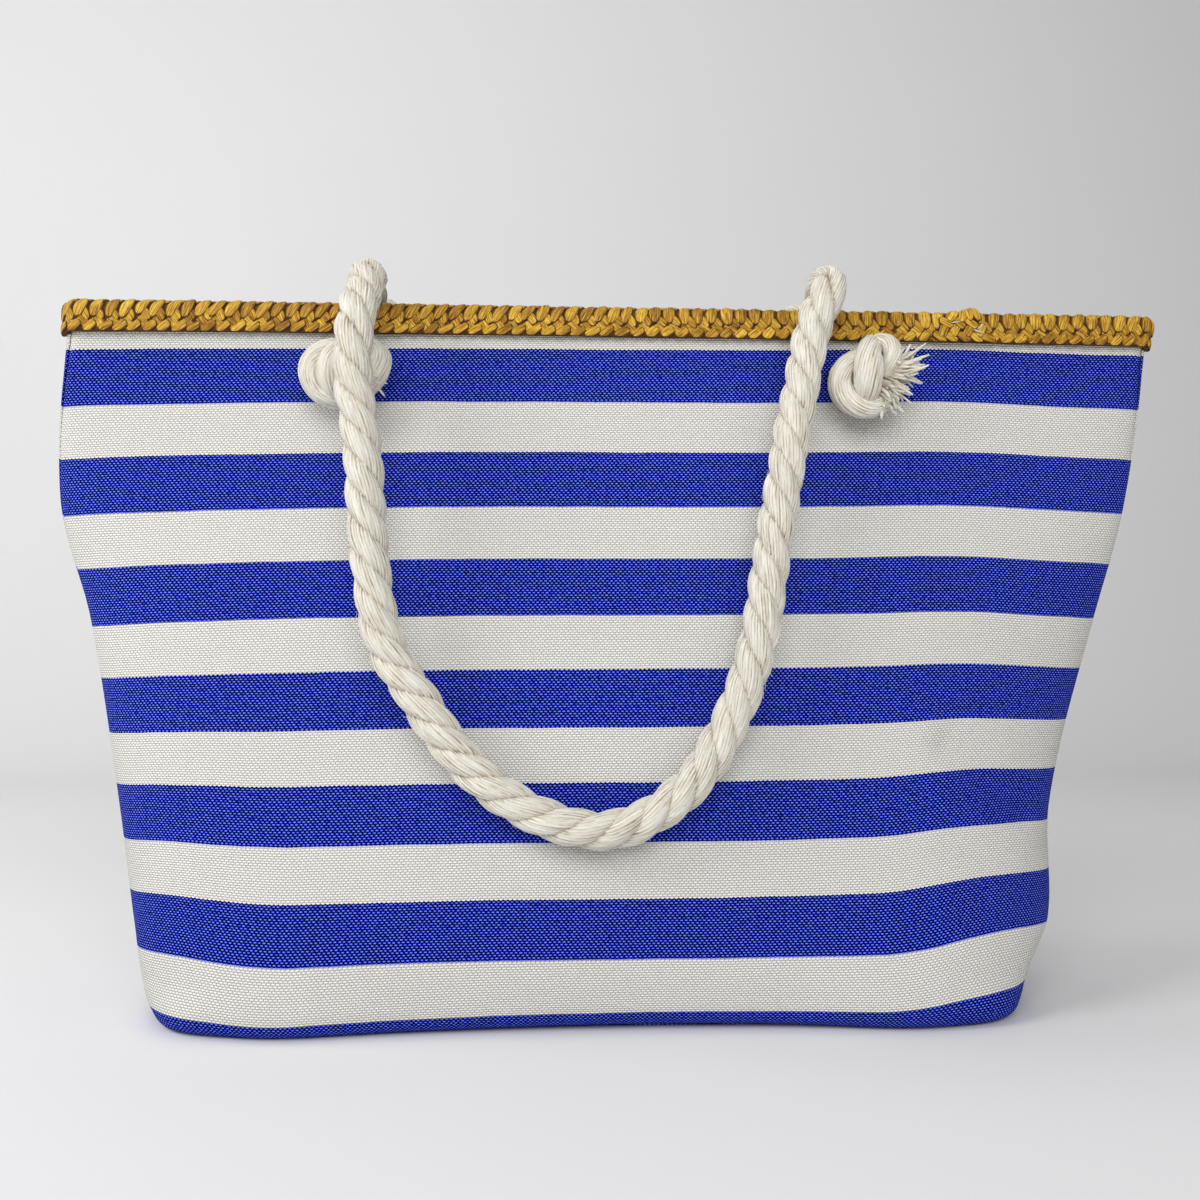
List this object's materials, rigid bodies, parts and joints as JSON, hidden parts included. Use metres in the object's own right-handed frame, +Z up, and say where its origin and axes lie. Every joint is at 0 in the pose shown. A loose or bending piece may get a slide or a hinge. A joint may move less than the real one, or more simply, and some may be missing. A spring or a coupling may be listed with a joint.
{
  "type": "beach bag",
  "caption": "Striped canvas beach bag with a braided raffia rim, knotted rope handles, a magnetic snap and an inner zipped pocket.",
  "frame": {"origin": "on the ground, under the middle of the bag", "axes": "+Z up; the front of the bag faces -Y; +X to the right end of the rim as seen from the front"},
  "size_m": [0.546, 0.2076, 0.3598],
  "materials": {
    "canvas": "woven canvas in wide blue and white stripes, matt",
    "lining": "plain cotton, matt",
    "binding": "cotton tape, matt",
    "board": "grey board, matt",
    "raffia": "braided raffia straw, satin",
    "rope": "three-strand cotton rope, matt",
    "brass": "plated, satin",
    "zip_cloth": "woven tape, matt"
  },
  "bodies": {
    "bag": {"front_panel": "canvas", "back_panel": "canvas", "base_panel": "canvas", "base_board": "board", "lining_front": "lining", "lining_back": "lining", "lining_base": "lining", "side_binding_left": "binding", "side_binding_right": "binding", "braid_trim": "raffia", "trim_splice": "raffia", "eyelet_front_left": "brass", "eyelet_front_right": "brass", "eyelet_back_left": "brass", "eyelet_back_right": "brass", "eyelet_washer_front_left": "brass", "eyelet_washer_front_right": "brass", "eyelet_washer_back_left": "brass", "eyelet_washer_back_right": "brass", "knot_front_left": "rope", "knot_front_right": "rope", "knot_back_left": "rope", "knot_back_right": "rope", "rope_end_front_left": "rope", "rope_end_front_right": "rope", "rope_end_back_left": "rope", "rope_end_back_right": "rope", "snap_socket": "brass", "snap_stud": "brass", "snap_patch_front": "lining", "snap_patch_back": "lining", "pocket_pouch": "lining", "zip_tape": "zip_cloth", "zip_teeth": "brass", "zip_stops": "brass"},
    "front_handle": {"front_handle": "rope"},
    "back_handle": {"back_handle": "rope"},
    "zip_slider": {"zip_slider": "brass"},
    "zip_puller": {"zip_puller": "brass"}
  },
  "joints": [
    {"name": "front_handle_swing", "type": "hinge", "parent": "bag", "child": "front_handle", "pos_m": [0, -0.0256, 0.3524], "axis": [-1, 0, 0], "range_deg": [0, 130], "deforming": ["rope_end_front_left", "rope_end_front_right"]},
    {"name": "back_handle_swing", "type": "hinge", "parent": "bag", "child": "back_handle", "pos_m": [0, 0.0272, 0.3524], "axis": [1, 0, 0], "range_deg": [0, 130], "deforming": ["rope_end_back_left", "rope_end_back_right"]},
    {"name": "zip_slide", "type": "slide", "parent": "bag", "child": "zip_slider", "axis": [1, 0, 0], "range_m": [0, 0.13]},
    {"name": "zip_puller_swing", "type": "hinge", "parent": "zip_slider", "child": "zip_puller", "pos_m": [-0.065, 0.04639, 0.23099], "axis": [-1, 0, 0], "range_deg": [0, 120]}
  ]
}
